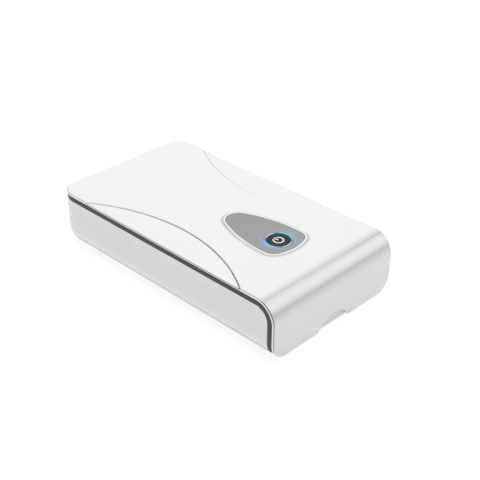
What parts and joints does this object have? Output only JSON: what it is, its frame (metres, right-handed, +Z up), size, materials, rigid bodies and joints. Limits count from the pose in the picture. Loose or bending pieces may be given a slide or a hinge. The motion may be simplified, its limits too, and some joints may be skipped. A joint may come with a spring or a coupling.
{
  "type": "uv sterilizer",
  "caption": "Low white ultraviolet disinfecting box for a phone, with a bent lid hinged at the rear, a grey panel with a lit power button, and a lined chamber.",
  "frame": {"origin": "on the table under the middle of the closed box", "axes": "+Z up; +Y to the rear, where the hinge is; -Y to the front, with the lid's front wall and finger notch; +X to the right of a person at the front"},
  "size_m": [0.12, 0.22, 0.0448],
  "materials": {
    "cover_white": "gloss",
    "case_white": "satin",
    "frame_grey": "satin",
    "panel_grey": "fine satin",
    "inlay_grey": "satin",
    "button_black": "gloss",
    "ring_blue": "lit from behind",
    "reflector_metal": "bright coated",
    "window_glass": "clear",
    "board_green": "solder mask",
    "lamp_board_white": "solder mask",
    "steel": "zinc plated",
    "rubber_dark": "matte"
  },
  "bodies": {
    "case": {"bottom_plate": "case_white", "bottom_screw_1": "steel", "bottom_screw_2": "steel", "bottom_screw_3": "steel", "bottom_screw_4": "steel", "case_magnet_left": "steel", "case_magnet_right": "steel", "case_shell": "case_white", "chamber_tray": "reflector_metal", "floor_window": "window_glass", "foot_1": "rubber_dark", "foot_2": "rubber_dark", "foot_3": "rubber_dark", "foot_4": "rubber_dark", "hinge_leaf_left": "steel", "hinge_leaf_right": "steel", "hinge_pin_left": "steel", "hinge_pin_right": "steel", "hinge_screw_left_inner": "steel", "hinge_screw_left_outer": "steel", "hinge_screw_right_inner": "steel", "hinge_screw_right_outer": "steel", "lower_lamp_board": "lamp_board_white", "main_board": "board_green", "power_socket": "steel", "rim_bumper_left": "rubber_dark", "rim_bumper_right": "rubber_dark"},
    "lid": {"button_board": "board_green", "control_panel": "panel_grey", "lid_cover": "cover_white", "lid_frame": "frame_grey", "lid_lamp_board_left": "lamp_board_white", "lid_lamp_board_right": "lamp_board_white", "lid_magnet_left": "steel", "lid_magnet_right": "steel", "lid_reflector": "reflector_metal", "lid_screw_1": "steel", "lid_screw_2": "steel", "lid_screw_3": "steel", "lid_screw_4": "steel", "light_ring": "ring_blue", "panel_bezel": "cover_white", "side_inlay_left": "inlay_grey", "side_inlay_right": "inlay_grey", "tact_switch": "button_black"},
    "button": {"power_button": "button_black"}
  },
  "joints": [
    {"name": "lid_hinge", "type": "hinge", "parent": "case", "child": "lid", "pos_m": [0, 0.105, 0.039], "axis": [-1, 0, 0], "range_deg": [0, 100]},
    {"name": "button_press", "type": "slide", "parent": "lid", "child": "button", "axis": [0, 0, -1], "range_m": [0, 0.0005], "stiffness_N_per_m": 500, "springref_m": -0.0005}
  ]
}
